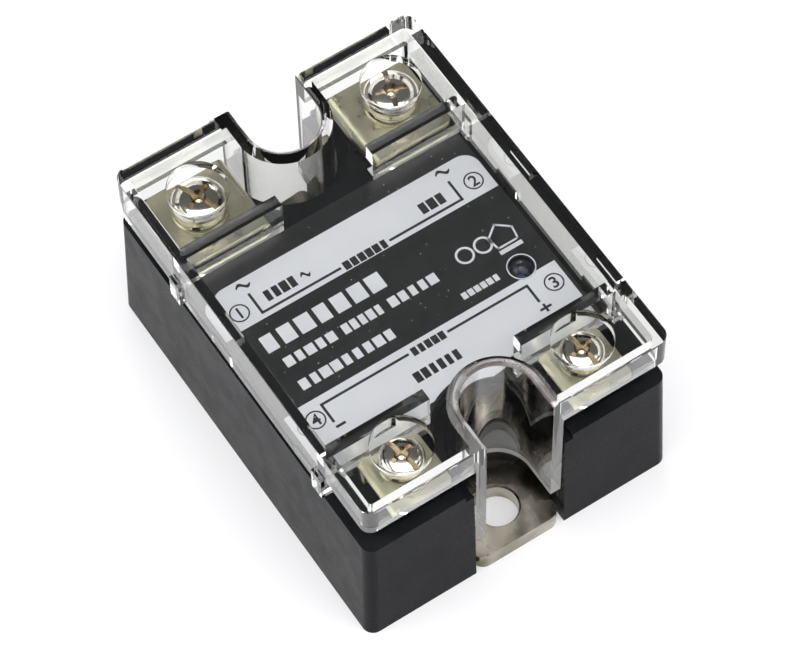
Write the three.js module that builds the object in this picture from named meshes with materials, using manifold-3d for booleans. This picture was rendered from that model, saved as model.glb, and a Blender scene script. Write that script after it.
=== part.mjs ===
// Panel-mount solid state relay with a clear protective cover.
// Millimetres, +Z up, origin at the bottom centre of the metal base plate.
// +Y runs from the input end to the output end, and +X to the right seen from the input end.

import * as THREE from 'three';
import { mergeVertices } from 'three/addons/utils/BufferGeometryUtils.js';
import Module from 'manifold-3d';

const wasm = await Module();
wasm.setup();

// ---------------------------------------------------------------- driving dimensions

// Moulded case
const CASE_WIDTH = 45;
const CASE_LENGTH = 58.5;
const RIM_HEIGHT = 20.3;
const CASE_DRAFT = 0.65;
const CASE_CORNER = 1.5;
const RIM_CHAMFER = 0.4;
const CASE_WALL = 2.2;
const DECK_STEP = 1.5;
const DECK_THICKNESS = 2.5;
const NOTCH_WALL = 2;
const LANDING_RELIEF = 1.2;
const LANDING_DEPTH = 2.5;

// Mounting slots and base plate
const SLOT_OFFSET = 24;
const SLOT_WALL_BORE = 4.8;
const PLATE_THICKNESS = 2.7;
const PLATE_RELIEF = 0.2;
const PLATE_CLEARANCE = 0.2;
const TONGUE_HALF_WIDTH = 6.2;
const TONGUE_CORNER = 1.5;
const MOUNT_HOLE_RADIUS = 2.75;

// Protective cover
const COVER_RISE = 10;
const COVER_WALL = 1.5;
const COVER_FIT = 0.3;
const COVER_CORNER = 1.5;
const INPUT_SKIRT_RISE = 5;
const OUTPUT_SKIRT_RISE = 2.2;
const OUTPUT_END_RISE = 5;
const SIDE_SKIRT_RISE = 1.3;
const SLOT_WALL_GAP = 5.3;
const FOOT_PROUD = 0.4;
const FOOT_LENGTH = 2.2;
const INPUT_BARRIER = -18.3;
const OUTPUT_BARRIER = 14.5;
const BARRIER_THICKNESS = 1.7;
const BARRIER_GAP = 1.1;
const ACCESS_RADIUS = 3.9;
const TAB_LENGTH = 3.6;
const TAB_HEIGHT = 2.3;
const TAB_SKIN = 0.6;
const TAB_POSITIONS = [-14.4, 4.4];

// Terminals, screws, washers and captive nuts
const PEDESTAL_STEP = 1.5;
const TERMINAL_THICKNESS = 1.2;
const OUTPUT = {
  x: 14.2, y: 21.1,
  plate: { inner: 7.7, outer: 19.3, near: 15.9, far: 26.2 },
  legWidth: 3, legThickness: 1.2, flangeDrop: 1.2, nutTurn: 0,
  shank: 1.9, headRadius: 3.55, headHeight: 2.4, shankLength: 10,
  flatWasher: 0.6, flatRadius: 3.6, springWasher: 0.9, springRadius: 3.4,
  nutFlats: 7, nutHeight: 2.9,
};
const INPUT = {
  x: 13, y: -22.7,
  plate: { inner: 8.9, outer: 17.3, near: -26.7, far: -19.5 },
  legWidth: 1.4, legThickness: 1, flangeDrop: 0.1, nutTurn: Math.PI / 6,
  shank: 1.4, headRadius: 2.85, headHeight: 2.1, shankLength: 8,
  flatWasher: 0.5, flatRadius: 2.95, springWasher: 0.8, springRadius: 2.7,
  nutFlats: 5.5, nutHeight: 2.4,
};
const BEND_RADIUS = 1.2;
const FOOT_WIDTH = 5;
const STRAP_HEIGHT = 3;
const STRAP_LEAD = 4;
const SHANK_CLEARANCE = 0.2;
const POCKET_CLEARANCE = 0.2;
const RECESS_WIDTH = 1;
const RECESS_DEPTH = 1.3;
const BOSS_WALL = 1.6;
const BOSS_FLOOR = 1.2;
const LEG_CLEARANCE = 0.25;

// Label and status lamp
const LABEL_THICKNESS = 0.2;
const LABEL_HALF_WIDTH = 19.6;
const LABEL_OUTPUT_EDGE = 14.2;
const LABEL_INPUT_EDGE = -19.4;
const LABEL_SLOT_MARGIN = 0.5;
const LAMP_X = 15.2;
const LAMP_Y = -6.6;
const LAMP_RADIUS = 1.5;
const LAMP_CLEARANCE = 0.2;

// Power stage and driver board
const SUBSTRATE = { width: 30, near: -6, far: 14, thickness: 1 };
const CHIP = { size: 8, thickness: 0.5, x: 6.5, y: 4 };
const BOARD_HEIGHT = 10;
const BOARD_THICKNESS = 1.6;
const BOARD_HALF_WIDTH = 18.8;
const BOARD_NEAR = -25.6;
const BOARD_FAR = 3.6;
const STRAP_TOP = 9;
const INNER_GAP = 0.3;

// ---------------------------------------------------------------- derived values

const deckHeight = RIM_HEIGHT + DECK_STEP;
const pedestalHeight = deckHeight + PEDESTAL_STEP;
const coverHeight = RIM_HEIGHT + COVER_RISE;
const sideSkirt = RIM_HEIGHT + SIDE_SKIRT_RISE;
const slotWallFoot = PLATE_THICKNESS + SLOT_WALL_GAP;
const caseHalfWidth = CASE_WIDTH / 2;
const caseHalfLength = CASE_LENGTH / 2;
const rimHalfWidth = caseHalfWidth - CASE_DRAFT;
const rimHalfLength = caseHalfLength - CASE_DRAFT;
const slotWallOuter = SLOT_WALL_BORE + COVER_WALL;
const notchRadius = slotWallOuter + COVER_FIT;
const landingReliefRadius = notchRadius + LANDING_RELIEF;
const notchShell = notchRadius + NOTCH_WALL;
const deckHalfWidth = rimHalfWidth - COVER_WALL - COVER_FIT;
const deckHalfLength = rimHalfLength - COVER_WALL - COVER_FIT;
const cavityHalfWidth = rimHalfWidth - CASE_WALL;
const cavityHalfLength = rimHalfLength - CASE_WALL;
const cavityTop = deckHeight - DECK_THICKNESS;
const plateInnerTop = PLATE_THICKNESS - PLATE_RELIEF;
const plateHalfWidth = cavityHalfWidth - PLATE_CLEARANCE;
const plateHalfLength = cavityHalfLength - PLATE_CLEARANCE;
const roofUnderside = coverHeight - COVER_WALL;
const terminalTop = pedestalHeight + TERMINAL_THICKNESS;
const substrateTop = plateInnerTop + SUBSTRATE.thickness;
const chipTop = substrateTop + CHIP.thickness;
const boardTop = BOARD_HEIGHT + BOARD_THICKNESS;
const PASS = 1; // how far a cutting tool runs past the faces that it opens

// ---------------------------------------------------------------- solid helpers

function toSolid(geometry) {
  const bare = geometry.index ? geometry.toNonIndexed() : geometry.clone();
  bare.deleteAttribute('normal');
  bare.deleteAttribute('uv');
  const merged = mergeVertices(bare, 1e-5);
  return new wasm.Manifold(new wasm.Mesh({
    numProp: 3,
    vertProperties: new Float32Array(merged.attributes.position.array),
    triVerts: new Uint32Array(merged.index.array),
  }));
}

function toGeometry(solid) {
  const mesh = solid.getMesh();
  const geometry = new THREE.BufferGeometry();
  geometry.setAttribute('position', new THREE.BufferAttribute(mesh.vertProperties, 3));
  geometry.setIndex(new THREE.BufferAttribute(mesh.triVerts, 1));
  return geometry;
}

function join(...solids) {
  return solids.reduce((whole, solid) => whole.add(solid));
}

function cut(solid, ...tools) {
  return tools.reduce((rest, tool) => rest.subtract(tool), solid);
}

function block(x0, x1, y0, y1, z0, z1) {
  const geometry = new THREE.BoxGeometry(x1 - x0, y1 - y0, z1 - z0);
  geometry.translate((x0 + x1) / 2, (y0 + y1) / 2, (z0 + z1) / 2);
  return toSolid(geometry);
}

function prism(shape, z0, z1, curveSegments = 4) {
  const geometry = new THREE.ExtrudeGeometry(shape, {
    depth: z1 - z0, bevelEnabled: false, curveSegments,
  });
  geometry.translate(0, 0, z0);
  return toSolid(geometry);
}

function post(radius, x, y, z0, z1, segments = 24) {
  const geometry = new THREE.CylinderGeometry(radius, radius, z1 - z0, segments);
  geometry.rotateX(Math.PI / 2);
  geometry.translate(x, y, (z0 + z1) / 2);
  return toSolid(geometry);
}

function hexPost(flats, x, y, z0, z1, turn) {
  const radius = flats / Math.sqrt(3);
  const geometry = new THREE.CylinderGeometry(radius, radius, z1 - z0, 6);
  geometry.rotateX(Math.PI / 2);
  geometry.rotateZ(turn);
  geometry.translate(x, y, (z0 + z1) / 2);
  return toSolid(geometry);
}

function ring(outer, inner, x, y, z0, z1, segments = 24) {
  return cut(
    post(outer, x, y, z0, z1, segments),
    post(inner, x, y, z0 - PASS, z1 + PASS, segments),
  );
}

function roundedRectangle(halfWidth, halfLength, radius) {
  const shape = new THREE.Shape();
  shape.moveTo(-halfWidth + radius, -halfLength);
  shape.absarc(halfWidth - radius, -halfLength + radius, radius, -Math.PI / 2, 0);
  shape.absarc(halfWidth - radius, halfLength - radius, radius, 0, Math.PI / 2);
  shape.absarc(-halfWidth + radius, halfLength - radius, radius, Math.PI / 2, Math.PI);
  shape.absarc(-halfWidth + radius, -halfLength + radius, radius, Math.PI, 1.5 * Math.PI);
  return shape;
}

// A rounded block whose sides lean inwards by inset over its height.
function draftedBlock(halfWidth, halfLength, radius, z0, z1, inset) {
  const geometry = new THREE.ExtrudeGeometry(roundedRectangle(halfWidth, halfLength, radius), {
    depth: z1 - z0, bevelEnabled: false, curveSegments: 3,
  });
  const position = geometry.attributes.position;
  for (let i = 0; i < position.count; i += 1) {
    const share = position.getZ(i) / (z1 - z0);
    position.setX(i, position.getX(i) - Math.sign(position.getX(i)) * inset * share);
    position.setY(i, position.getY(i) - Math.sign(position.getY(i)) * inset * share);
  }
  geometry.translate(0, 0, z0);
  return toSolid(geometry);
}

// The U-shaped footprint of a mounting slot, open past the end of the relay.
// end is -1 at the input end and +1 at the output end.
function slotShape(radius, end, reach) {
  const shape = new THREE.Shape();
  shape.moveTo(-radius, end * reach);
  shape.lineTo(-radius, end * SLOT_OFFSET);
  shape.absarc(0, end * SLOT_OFFSET, radius, Math.PI, 0, end > 0 ? false : true);
  shape.lineTo(radius, end * reach);
  return shape;
}

function slotBlock(radius, end, reach, z0, z1) {
  return prism(slotShape(radius, end, reach), z0, z1, 16);
}

const ENDS = [-1, 1];
const SIDES = [-1, 1];
const past = caseHalfLength + PASS;

// The four terminal stations, numbered as on the label. Each plate has one bent edge with a leg
// below it: the output pair is bent on the inner side, and both input terminals on the left.
const stations = [
  { number: 1, role: 'output', side: -1, bend: 1, size: OUTPUT },
  { number: 2, role: 'output', side: 1, bend: -1, size: OUTPUT },
  { number: 3, role: 'input', side: 1, bend: -1, size: INPUT },
  { number: 4, role: 'input', side: -1, bend: -1, size: INPUT },
].map((station) => {
  const { size, side, bend, role } = station;
  const { inner, outer, near, far } = size.plate;
  const left = side > 0 ? inner : -outer;
  const right = side > 0 ? outer : -inner;
  const edge = bend > 0 ? right : left;
  const legNear = role === 'output' ? near : far - size.legWidth;
  return {
    ...station, x: side * size.x, y: size.y, left, right, near, far,
    edge, legNear, legFar: legNear + size.legWidth,
  };
});

// A block that starts at a station's bent edge and runs depth towards its screw.
function edgeBlock({ edge, bend }, start, depth, y0, y1, z0, z1) {
  const a = edge - bend * start;
  const b = edge - bend * depth;
  return block(Math.min(a, b), Math.max(a, b), y0, y1, z0, z1);
}

// ---------------------------------------------------------------- base plate

function tongueShape(end) {
  const shape = new THREE.Shape();
  const tip = end * caseHalfLength;
  const back = end * (caseHalfLength - TONGUE_CORNER);
  const side = TONGUE_HALF_WIDTH;
  const corner = side - TONGUE_CORNER;
  shape.moveTo(-side, end * SLOT_OFFSET);
  shape.lineTo(-side, back);
  shape.absarc(-corner, back, TONGUE_CORNER, Math.PI, end * Math.PI / 2, end > 0);
  shape.lineTo(corner, tip);
  shape.absarc(corner, back, TONGUE_CORNER, end * Math.PI / 2, 0, end > 0);
  shape.lineTo(side, end * SLOT_OFFSET);
  shape.absarc(0, end * SLOT_OFFSET, side, 0, Math.PI, end > 0);
  return shape;
}

function makeBasePlate() {
  const body = block(-plateHalfWidth, plateHalfWidth, -plateHalfLength, plateHalfLength, 0, plateInnerTop);
  const landings = ENDS.map((end) => prism(tongueShape(end), 0, PLATE_THICKNESS, 6));
  const holes = ENDS.map((end) => (
    post(MOUNT_HOLE_RADIUS, 0, end * SLOT_OFFSET, -PASS, PLATE_THICKNESS + PASS)
  ));
  return cut(join(body, ...landings), ...holes);
}

function plateSeat() {
  const seatTop = plateInnerTop + PLATE_CLEARANCE / 2;
  const body = block(
    -plateHalfWidth - PLATE_CLEARANCE, plateHalfWidth + PLATE_CLEARANCE,
    -plateHalfLength - PLATE_CLEARANCE, plateHalfLength + PLATE_CLEARANCE,
    -PASS, seatTop,
  );
  const tongues = ENDS.map((end) => (
    slotBlock(TONGUE_HALF_WIDTH + PLATE_CLEARANCE, end, past, -PASS, seatTop)
  ));
  return join(body, ...tongues);
}

// ---------------------------------------------------------------- terminals

function makeTerminal(station) {
  const { size, edge, bend, left, right, near, far } = station;
  const foot = pedestalHeight - size.flangeDrop;
  const depth = BEND_RADIUS + 0.5;
  const profile = new THREE.Shape();
  profile.moveTo(depth, terminalTop);
  profile.lineTo(BEND_RADIUS, terminalTop);
  profile.absarc(BEND_RADIUS, terminalTop - BEND_RADIUS, BEND_RADIUS, Math.PI / 2, Math.PI);
  profile.lineTo(0, foot);
  profile.lineTo(size.legThickness, foot);
  profile.lineTo(size.legThickness, pedestalHeight);
  profile.lineTo(depth, pedestalHeight);
  const strip = new THREE.ExtrudeGeometry(profile, {
    depth: far - near, bevelEnabled: false, curveSegments: 5,
  });
  strip.rotateX(Math.PI / 2);
  if (bend > 0) {
    strip.rotateZ(Math.PI);
    strip.translate(0, near - far, 0);
  }
  strip.translate(edge, far, 0);
  const a = bend > 0 ? left : left + BEND_RADIUS;
  const b = bend > 0 ? right - BEND_RADIUS : right;
  const hole = post(
    size.shank + 2 * SHANK_CLEARANCE, station.x, station.y, pedestalHeight - PASS, terminalTop + PASS,
  );
  const plate = block(a, b, near, far, pedestalHeight, terminalTop);
  return cut(join(plate, toSolid(strip), ...terminalLeg(station, 0)), hole);
}

// The leg below the bend. An input leg stands on the driver board. An output leg becomes a strap
// that ends in a foot on the ceramic substrate. margin grows the same blocks into a cutting tool.
function terminalLeg(station, margin) {
  const { size, legNear, legFar, role } = station;
  const top = pedestalHeight + 0.1;
  const a = -margin;
  const b = size.legThickness + margin;
  if (role === 'input') {
    return [edgeBlock(station, a, b, legNear - margin, legFar + margin, boardTop, top)];
  }
  const lead = SUBSTRATE.far - STRAP_LEAD - 0.5 - margin;
  const leadEnd = SUBSTRATE.far - 0.5 + margin;
  const low = STRAP_TOP - STRAP_HEIGHT - margin;
  const high = STRAP_TOP + margin;
  const footTop = substrateTop + size.legThickness + margin;
  return [
    edgeBlock(station, a, b, legNear - margin, legFar + margin, low, top),
    edgeBlock(station, a, b, lead, legFar + margin, low, high),
    edgeBlock(station, a, b, lead, leadEnd, substrateTop, high),
    edgeBlock(station, a, FOOT_WIDTH + margin, lead, leadEnd, substrateTop, footTop),
  ];
}

// ---------------------------------------------------------------- case

function screwTip(size) {
  return terminalTop + size.flatWasher + size.springWasher - size.shankLength;
}

function makeCase() {
  const sides = join(
    draftedBlock(
      caseHalfWidth, caseHalfLength, CASE_CORNER, 0, RIM_HEIGHT - RIM_CHAMFER,
      CASE_DRAFT * (1 - RIM_CHAMFER / RIM_HEIGHT),
    ),
    draftedBlock(
      rimHalfWidth, rimHalfLength, CASE_CORNER, RIM_HEIGHT - RIM_CHAMFER, RIM_HEIGHT, RIM_CHAMFER,
    ),
  );
  const deck = prism(
    roundedRectangle(deckHalfWidth, deckHalfLength, CASE_CORNER), RIM_HEIGHT - PASS, deckHeight,
  );
  const pedestals = stations.map(({ left, right, near, far }) => (
    block(left, right, near, far, deckHeight - PASS, pedestalHeight)
  ));
  const bendRooms = stations.map((station) => edgeBlock(
    station, -PASS, station.size.legThickness + LEG_CLEARANCE,
    station.near - PASS, station.far + PASS, deckHeight, pedestalHeight + PASS,
  ));
  const tabs = SIDES.flatMap((side) => TAB_POSITIONS.map((y) => {
    const x0 = side * (deckHalfWidth - COVER_FIT / 2);
    const x1 = side * (rimHalfWidth - TAB_SKIN - COVER_FIT);
    return block(
      Math.min(x0, x1), Math.max(x0, x1), y - TAB_LENGTH / 2, y + TAB_LENGTH / 2,
      RIM_HEIGHT - PASS, RIM_HEIGHT + TAB_HEIGHT,
    );
  }));
  const cavity = cut(
    block(-cavityHalfWidth, cavityHalfWidth, -cavityHalfLength, cavityHalfLength, -PASS, cavityTop),
    ...ENDS.map((end) => slotBlock(notchShell, end, past, -2 * PASS, cavityTop + PASS)),
  );
  const shell = cut(
    join(sides, deck, ...pedestals, ...tabs),
    cavity,
    plateSeat(),
    ...ENDS.map((end) => slotBlock(notchRadius, end, past, -PASS, pedestalHeight + PASS)),
    ...ENDS.map((end) => (
      slotBlock(landingReliefRadius, end, past, deckHeight - LANDING_DEPTH, pedestalHeight + PASS)
    )),
  );
  const bosses = stations.map(({ x, y, size }) => post(
    size.shank + BOSS_WALL, x, y, screwTip(size) - BOSS_FLOOR - 0.5, cavityTop + 0.5,
  ));
  const nutPockets = stations.map(({ x, y, size }) => hexPost(
    size.nutFlats + 2 * POCKET_CLEARANCE, x, y,
    pedestalHeight - size.nutHeight, pedestalHeight + PASS, size.nutTurn,
  ));
  const bores = stations.map(({ x, y, size }) => post(
    size.shank + 2 * SHANK_CLEARANCE, x, y, screwTip(size) - 0.5, pedestalHeight,
  ));
  const legSlots = stations.map((station) => edgeBlock(
    station, -LEG_CLEARANCE, station.size.legThickness + LEG_CLEARANCE,
    station.legNear - LEG_CLEARANCE, station.legFar + LEG_CLEARANCE,
    cavityTop - 2 * PASS, pedestalHeight + PASS,
  ));
  const lampHole = post(
    LAMP_RADIUS + LAMP_CLEARANCE, LAMP_X, LAMP_Y, cavityTop - PASS, deckHeight + PASS,
  );
  return cut(join(shell, ...bosses), ...bendRooms, ...nutPockets, ...bores, ...legSlots, lampHole);
}

// ---------------------------------------------------------------- protective cover

function makeCover() {
  const outline = roundedRectangle(rimHalfWidth, rimHalfLength, COVER_CORNER);
  const inside = roundedRectangle(
    rimHalfWidth - COVER_WALL, rimHalfLength - COVER_WALL, COVER_CORNER / 3,
  );
  const box = cut(
    prism(outline, sideSkirt, coverHeight),
    prism(inside, sideSkirt - PASS, roofUnderside),
  );
  const inputEdge = INPUT_BARRIER - BARRIER_THICKNESS;
  const outputEdge = OUTPUT_BARRIER + BARRIER_THICKNESS;
  const wide = caseHalfWidth + PASS;
  const trimmed = cut(
    box,
    block(-wide, wide, -past, inputEdge, 0, RIM_HEIGHT + INPUT_SKIRT_RISE),
    block(-wide, wide, outputEdge, past, 0, RIM_HEIGHT + OUTPUT_SKIRT_RISE),
    block(-wide, wide, rimHalfLength - COVER_CORNER, past, 0, RIM_HEIGHT + OUTPUT_END_RISE),
  );
  const feet = SIDES.flatMap((side) => [inputEdge, outputEdge - FOOT_LENGTH].map((y) => {
    const x0 = side * (rimHalfWidth - COVER_WALL);
    const x1 = side * (rimHalfWidth + FOOT_PROUD);
    return block(
      Math.min(x0, x1), Math.max(x0, x1), y, y + FOOT_LENGTH,
      RIM_HEIGHT + COVER_FIT, RIM_HEIGHT + COVER_FIT + 4,
    );
  }));
  const barriers = SIDES.flatMap((side) => [INPUT_BARRIER, OUTPUT_BARRIER].map((y) => {
    const x0 = side * (slotWallOuter + COVER_FIT);
    const x1 = side * (rimHalfWidth - COVER_WALL / 2);
    return block(
      Math.min(x0, x1), Math.max(x0, x1), y - BARRIER_THICKNESS / 2, y + BARRIER_THICKNESS / 2,
      deckHeight + BARRIER_GAP, coverHeight - COVER_WALL / 2,
    );
  }));
  const slotWalls = ENDS.map((end) => (
    slotBlock(slotWallOuter, end, rimHalfLength, slotWallFoot, coverHeight)
  ));
  const slots = ENDS.map((end) => (
    slotBlock(SLOT_WALL_BORE, end, past, slotWallFoot - PASS, coverHeight + PASS)
  ));
  const access = stations.map(({ x, y }) => (
    post(ACCESS_RADIUS, x, y, roofUnderside - PASS, coverHeight + PASS, 32)
  ));
  const tabPockets = SIDES.flatMap((side) => TAB_POSITIONS.map((y) => {
    const x0 = side * (deckHalfWidth - PASS);
    const x1 = side * (rimHalfWidth - TAB_SKIN);
    return block(
      Math.min(x0, x1), Math.max(x0, x1),
      y - TAB_LENGTH / 2 - COVER_FIT, y + TAB_LENGTH / 2 + COVER_FIT,
      0, RIM_HEIGHT + TAB_HEIGHT + COVER_FIT,
    );
  }));
  return cut(join(trimmed, ...feet, ...barriers, ...slotWalls), ...slots, ...access, ...tabPockets);
}

// ---------------------------------------------------------------- label and lamp

function makeLabel() {
  const sheet = new THREE.Shape();
  sheet.moveTo(-LABEL_HALF_WIDTH, LABEL_INPUT_EDGE);
  sheet.lineTo(LABEL_HALF_WIDTH, LABEL_INPUT_EDGE);
  sheet.lineTo(LABEL_HALF_WIDTH, LABEL_OUTPUT_EDGE);
  sheet.lineTo(-LABEL_HALF_WIDTH, LABEL_OUTPUT_EDGE);
  const top = deckHeight + LABEL_THICKNESS;
  const inputPlates = stations.filter(({ role }) => role === 'input').map((station) => block(
    station.left - LABEL_SLOT_MARGIN, station.right + LABEL_SLOT_MARGIN,
    station.near - PASS, station.far + LABEL_SLOT_MARGIN, deckHeight - PASS, top + PASS,
  ));
  return cut(
    prism(sheet, deckHeight, top),
    slotBlock(landingReliefRadius + LABEL_SLOT_MARGIN, -1, past, deckHeight - PASS, top + PASS),
    post(LAMP_RADIUS + 1.5 * LAMP_CLEARANCE, LAMP_X, LAMP_Y, deckHeight - PASS, top + PASS),
    ...inputPlates,
  );
}

function makeLamp() {
  const collar = cavityTop - 1.2;
  const domeBase = deckHeight - 0.9;
  const profile = [new THREE.Vector2(0, collar)];
  profile.push(new THREE.Vector2(LAMP_RADIUS + 0.3, collar));
  profile.push(new THREE.Vector2(LAMP_RADIUS + 0.3, collar + 0.9));
  profile.push(new THREE.Vector2(LAMP_RADIUS, collar + 0.9));
  for (let step = 0; step <= 8; step += 1) {
    const angle = (step / 8) * Math.PI / 2;
    profile.push(new THREE.Vector2(
      step === 8 ? 0 : LAMP_RADIUS * Math.cos(angle), domeBase + LAMP_RADIUS * Math.sin(angle),
    ));
  }
  const body = new THREE.LatheGeometry(profile, 24);
  body.rotateX(Math.PI / 2);
  body.translate(LAMP_X, LAMP_Y, 0);
  const leads = [-1, 1].map((side) => block(
    LAMP_X + side * 1.27 - 0.25, LAMP_X + side * 1.27 + 0.25,
    LAMP_Y - 0.25, LAMP_Y + 0.25, boardTop, collar + 0.3,
  ));
  return join(toSolid(body), ...leads);
}

// ---------------------------------------------------------------- fasteners

function makeScrew({ x, y, size }) {
  const seat = terminalTop + size.flatWasher + size.springWasher;
  const edge = size.headHeight * 0.35;
  const profile = [new THREE.Vector2(0, seat - size.shankLength)];
  profile.push(new THREE.Vector2(size.shank * 0.7, seat - size.shankLength));
  profile.push(new THREE.Vector2(size.shank, seat - size.shankLength + size.shank * 0.3));
  profile.push(new THREE.Vector2(size.shank, seat));
  profile.push(new THREE.Vector2(size.headRadius, seat));
  for (let step = 0; step <= 6; step += 1) {
    const angle = (step / 6) * Math.PI / 2;
    profile.push(new THREE.Vector2(
      step === 6 ? 0 : size.headRadius * Math.cos(angle),
      seat + edge + (size.headHeight - edge) * Math.sin(angle),
    ));
  }
  const blank = new THREE.LatheGeometry(profile, 24);
  blank.rotateX(Math.PI / 2);
  blank.translate(x, y, 0);
  const floor = seat + size.headHeight - RECESS_DEPTH;
  const reach = size.headRadius * 0.62;
  const slotReach = size.headRadius + PASS;
  const half = RECESS_WIDTH / 2;
  const recess = join(
    block(x - reach, x + reach, y - half, y + half, floor, seat + size.headHeight + PASS),
    block(x - half, x + half, y - slotReach, y + slotReach, floor + 0.3, seat + size.headHeight + PASS),
    block(x - half, x + half, y - reach, y + reach, floor, seat + size.headHeight + PASS),
  );
  return cut(toSolid(blank), recess);
}

function makeFlatWasher({ x, y, size }) {
  return ring(
    size.flatRadius, size.shank + 2 * SHANK_CLEARANCE, x, y, terminalTop, terminalTop + size.flatWasher,
  );
}

function makeSpringWasher({ x, y, size }) {
  const bottom = terminalTop + size.flatWasher;
  const split = block(
    x, x + size.springRadius + PASS, y - 0.25, y + 0.25, bottom - PASS, bottom + size.springWasher + PASS,
  );
  return cut(
    ring(size.springRadius, size.shank + SHANK_CLEARANCE, x, y, bottom, bottom + size.springWasher),
    split,
  );
}

function makeNut({ x, y, size }) {
  const z1 = pedestalHeight - POCKET_CLEARANCE;
  const z0 = pedestalHeight - size.nutHeight;
  return cut(
    hexPost(size.nutFlats, x, y, z0, z1, size.nutTurn),
    post(size.shank + SHANK_CLEARANCE, x, y, z0 - PASS, z1 + PASS),
  );
}

// ---------------------------------------------------------------- power stage

function makeSubstrate() {
  const { width, near, far } = SUBSTRATE;
  return block(-width / 2, width / 2, near, far, plateInnerTop, substrateTop);
}

function makeChip(side) {
  const { size, x, y } = CHIP;
  return block(
    side * x - size / 2, side * x + size / 2, y - size / 2, y + size / 2, substrateTop, chipTop,
  );
}

// A gate pin drops from the board to the near edge of its chip.
function gatePinPlace(side) {
  return { x: side * CHIP.x, y: CHIP.y - CHIP.size / 4 };
}

function makeGatePin(side) {
  const { x, y } = gatePinPlace(side);
  return post(0.4, x, y, chipTop, BOARD_HEIGHT, 12);
}

function makePotting() {
  const gap = INNER_GAP;
  const top = BOARD_HEIGHT;
  const fill = cut(
    block(
      -cavityHalfWidth + gap, cavityHalfWidth - gap, -cavityHalfLength + gap, cavityHalfLength - gap,
      plateInnerTop + gap, top,
    ),
    ...ENDS.map((end) => slotBlock(notchShell + gap, end, past, 0, top + PASS)),
  );
  const { width, near, far } = SUBSTRATE;
  const power = block(-width / 2 - gap, width / 2 + gap, near - gap, far + gap, 0, substrateTop + gap);
  const chips = SIDES.map((side) => {
    const half = CHIP.size / 2 + gap;
    const x = side * CHIP.x;
    return block(x - half, x + half, CHIP.y - half, CHIP.y + half, 0, chipTop + gap);
  });
  const legs = stations.filter(({ role }) => role === 'output').flatMap((station) => (
    terminalLeg(station, gap)
  ));
  const pins = SIDES.map((side) => {
    const { x, y } = gatePinPlace(side);
    return post(0.4 + gap, x, y, chipTop, top + PASS, 12);
  });
  return cut(fill, power, ...chips, ...legs, ...pins);
}

// ---------------------------------------------------------------- driver board

function makeBoard() {
  const sheet = block(
    -BOARD_HALF_WIDTH, BOARD_HALF_WIDTH, BOARD_NEAR, BOARD_FAR, BOARD_HEIGHT, boardTop,
  );
  return cut(sheet, slotBlock(notchShell + INNER_GAP, -1, past, BOARD_HEIGHT - PASS, boardTop + PASS));
}

// An axial part lies along X with two leads bent down to the board.
function makeAxial(x, y, bodyRadius, bodyLength, leadSpan) {
  const z = boardTop + bodyRadius + 0.3;
  const body = new THREE.CylinderGeometry(bodyRadius, bodyRadius, bodyLength, 20);
  body.rotateZ(Math.PI / 2);
  body.translate(x, y, z);
  const half = leadSpan / 2;
  const wire = 0.3;
  const across = block(x - half - wire, x + half + wire, y - wire, y + wire, z - wire, z + wire);
  const down = [-half, half].map((dx) => (
    block(x + dx - wire, x + dx + wire, y - wire, y + wire, boardTop, z + wire)
  ));
  return join(toSolid(body), across, ...down);
}

function makeOptocoupler() {
  const { x, y, width, length } = { x: -7, y: -5.5, width: 6.4, length: 8.4 };
  const floor = boardTop + 0.5;
  const body = block(x - width / 2, x + width / 2, y - length / 2, y + length / 2, floor, floor + 3.4);
  const pins = SIDES.flatMap((side) => [-2.54, 0, 2.54].map((dy) => {
    const inner = x + side * (width / 2 - 0.2);
    const outer = x + side * (width / 2 + 0.6);
    return block(
      Math.min(inner, outer), Math.max(inner, outer),
      y + dy - 0.3, y + dy + 0.3,
      boardTop, floor + 1.6,
    );
  }));
  const notch = post(0.8, x, y + length / 2, floor + 2.8, floor + 3.4 + PASS, 16);
  return cut(join(body, ...pins), notch);
}

function makeTransistor() {
  const x = 4;
  const y = -10.4;
  const floor = boardTop + 1.4;
  const body = cut(post(2.3, x, y, floor, floor + 4.6, 28), block(x - 3, x + 3, y + 1.4, y + 3, 0, 40));
  const pins = [-1.27, 0, 1.27].map((dx) => (
    block(x + dx - 0.22, x + dx + 0.22, y - 0.22, y + 0.22, boardTop, floor + 0.2)
  ));
  return join(body, ...pins);
}

function makeCapacitor() {
  const body = block(-17.5, -12.5, -9.5, 1.5, boardTop + 0.4, boardTop + 7);
  const pins = [-7.7, -0.3].map((y) => block(-15.3, -14.7, y - 0.3, y + 0.3, boardTop, boardTop + 0.6));
  return join(body, ...pins);
}

// ---------------------------------------------------------------- materials and assembly

const FINISH = {
  plated: { color: 0xa8a184, roughness: 0.28, metalness: 1 },
  plate: { color: 0xa59b94, roughness: 0.4, metalness: 1 },
  steel: { color: 0xb9b6ab, roughness: 0.3, metalness: 1 },
  casing: { color: 0x2c2d30, roughness: 0.42, metalness: 0 },
  clear: { color: 0xdfe3e4, roughness: 0.08, metalness: 0 },
  label: { color: 0x262829, roughness: 0.5, metalness: 0 },
  lamp: { color: 0xb8c4d0, roughness: 0.1, metalness: 0 },
  board: { color: 0x2f6b3c, roughness: 0.6, metalness: 0 },
  ceramic: { color: 0xe8e6df, roughness: 0.6, metalness: 0 },
  silicon: { color: 0x55585e, roughness: 0.3, metalness: 0.4 },
  moulded: { color: 0x1d1d1f, roughness: 0.6, metalness: 0 },
  resistor: { color: 0x9fb7c6, roughness: 0.6, metalness: 0 },
  capacitor: { color: 0xb8a13a, roughness: 0.5, metalness: 0 },
  potting: { color: 0x17171a, roughness: 0.7, metalness: 0 },
};

const relay = new THREE.Group();

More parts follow.
